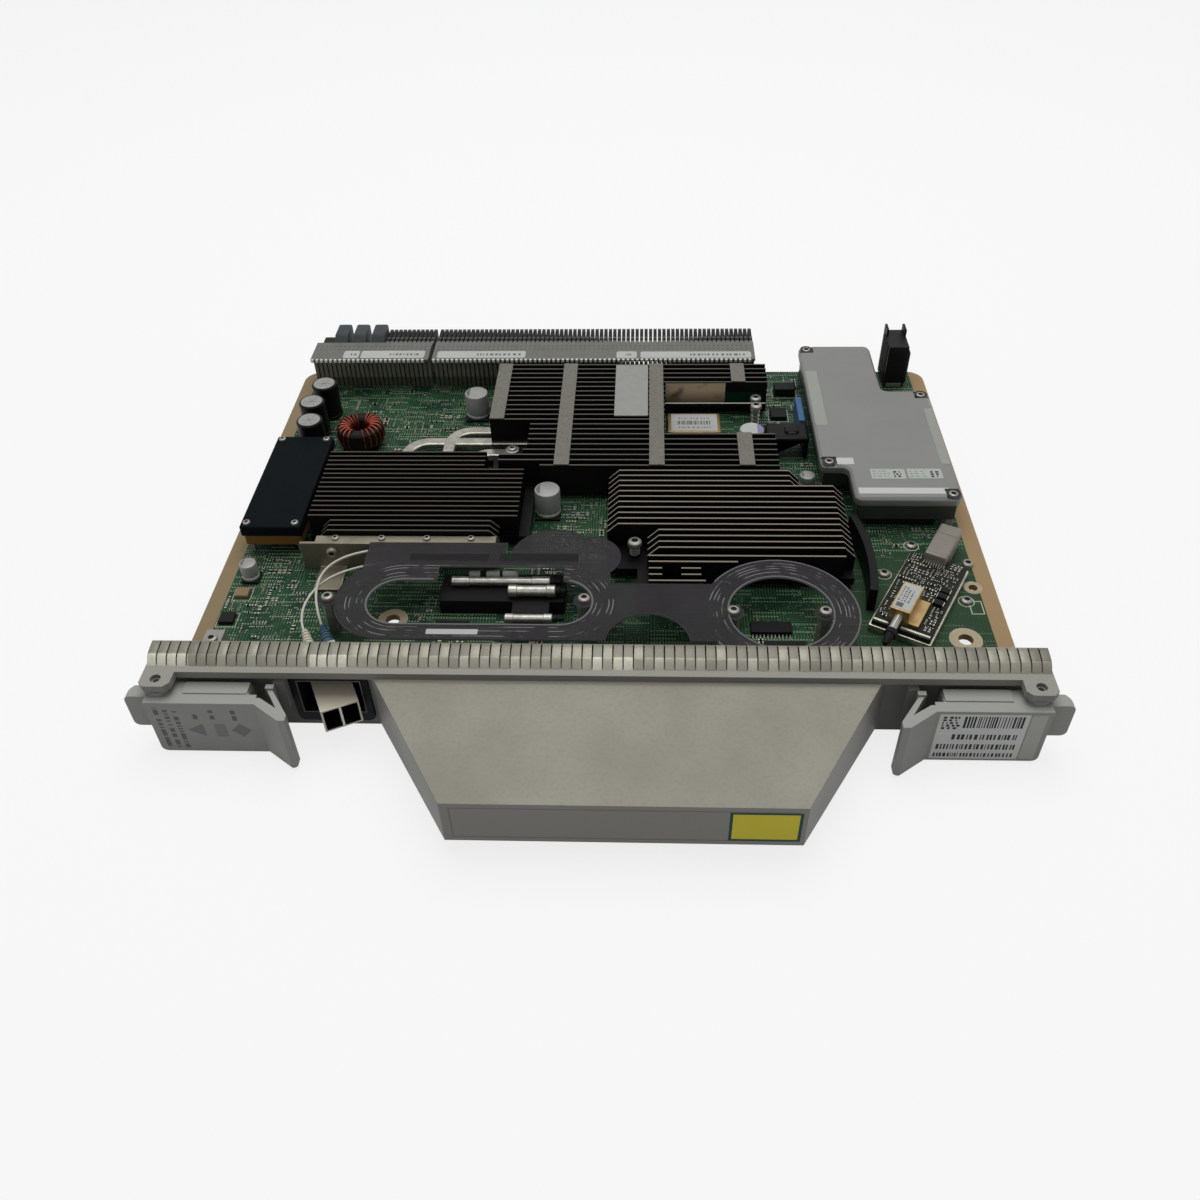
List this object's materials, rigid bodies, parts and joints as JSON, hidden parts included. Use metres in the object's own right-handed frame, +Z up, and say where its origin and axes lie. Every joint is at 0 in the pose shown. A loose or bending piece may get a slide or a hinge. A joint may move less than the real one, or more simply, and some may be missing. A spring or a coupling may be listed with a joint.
{
  "type": "optical circuit pack",
  "caption": "Plug-in optical circuit pack: a board of finned heatsinks, modules and a fibre tray behind a hooded faceplate with inserter levers.",
  "frame": {"origin": "middle of the faceplate wall's bottom edge, on the surface the pack lies on", "axes": "+X along the faceplate, +Y from the faceplate towards the backplane, +Z up from the component side"},
  "size_m": [0.2926, 0.2693, 0.032],
  "materials": {
    "board_green": "satin solder mask",
    "cast_grey": "fine textured paint over casting",
    "spring_metal": "bright plated spring sheet",
    "left_lever_grey": "fine textured moulding",
    "right_lever_grey": "fine textured moulding",
    "steel": "plated",
    "bezel_black": "matt moulding",
    "adapter_metal": "satin",
    "plug_white": "satin",
    "boot_white": "matt",
    "boot_blue": "matt",
    "fibre_jacket": "smooth jacket",
    "wafer_grey": "matt moulding",
    "stiffener_metal": "plain sheet",
    "key_slate": "matt moulding",
    "socket_black": "matt moulding",
    "cover_metal": "satin with polished edges",
    "base_metal": "machined",
    "brick_black": "black anodised",
    "brick_tan": "board edge",
    "bulk_black": "sleeved can",
    "can_silver": "plain can",
    "core_dark": "ferrite",
    "copper_wire": "enamelled wire",
    "left_fins": "dark anodised",
    "rear_fins": "dark anodised",
    "front_fins": "dark anodised",
    "pipe_metal": "plated",
    "band_metal": "dull",
    "plate_metal": "satin",
    "chip_black": "moulded package",
    "tray_film": "smoky clear sheet",
    "holder_black": "matt moulding",
    "tube_bright": "polished",
    "boot_rubber": "matt",
    "sleeve_white": "smooth",
    "bracket_metal": "plain sheet",
    "carrier_metal": "machined",
    "laser_green": "satin solder mask",
    "gold_plate": "gold plated",
    "clip_metal": "plated sheet",
    "guide_black": "matt moulding",
    "strip_blue": "moulded"
  },
  "bodies": {
    "pack": {"main_board": "board_green", "faceplate": "cast_grey", "finger_strip": "spring_metal", "pivot_pins": "steel", "port_bezel": "bezel_black", "optical_adapter": "adapter_metal", "fibre_plugs": "plug_white", "white_boot": "boot_white", "blue_boot": "boot_blue", "white_fibre": "fibre_jacket", "blue_fibre": "fibre_jacket", "left_wafers": "wafer_grey", "right_wafers": "wafer_grey", "left_stiffener": "stiffener_metal", "right_stiffener": "stiffener_metal", "key_blocks": "key_slate", "end_block": "socket_black", "guide_socket": "socket_black", "module_cover": "cover_metal", "module_base": "base_metal", "module_socket": "socket_black", "brick_cover": "brick_black", "brick_board": "brick_tan", "brick_pins": "steel", "bulk_capacitors": "bulk_black", "chip_capacitors": "can_silver", "capacitor_bases": "socket_black", "choke_base": "socket_black", "choke_core": "core_dark", "choke_winding": "copper_wire", "left_heatsink": "left_fins", "rear_heatsink": "rear_fins", "front_heatsink": "front_fins", "heat_pipes": "pipe_metal", "fin_bands": "band_metal", "sink_plate": "plate_metal", "cooled_chips": "chip_black", "sink_screws": "steel", "sink_spring": "steel", "fibre_tray": "tray_film", "standoffs": "steel", "pan_head_screws": "steel", "small_screws": "steel", "splice_holder": "holder_black", "splice_tubes": "tube_bright", "splice_boots": "boot_rubber", "label_sleeve": "sleeve_white", "tray_bracket": "bracket_metal", "laser_carrier": "carrier_metal", "laser_board": "laser_green", "laser_package": "gold_plate", "laser_boot": "boot_rubber", "shield_clip": "clip_metal", "fibre_guide": "guide_black", "fibre_strap": "guide_black", "strip_connector": "strip_blue", "board_chips": "chip_black"},
    "left_lever": {"left_lever": "left_lever_grey"},
    "right_lever": {"right_lever": "right_lever_grey"}
  },
  "joints": [
    {"name": "left_lever_hinge", "type": "hinge", "parent": "pack", "child": "left_lever", "pos_m": [-0.1352, -0.0085, 0.014], "axis": [0, 0, -1], "range_deg": [0, 55]},
    {"name": "right_lever_hinge", "type": "hinge", "parent": "pack", "child": "right_lever", "pos_m": [0.1352, -0.0085, 0.014], "axis": [0, 0, 1], "range_deg": [0, 55]}
  ]
}
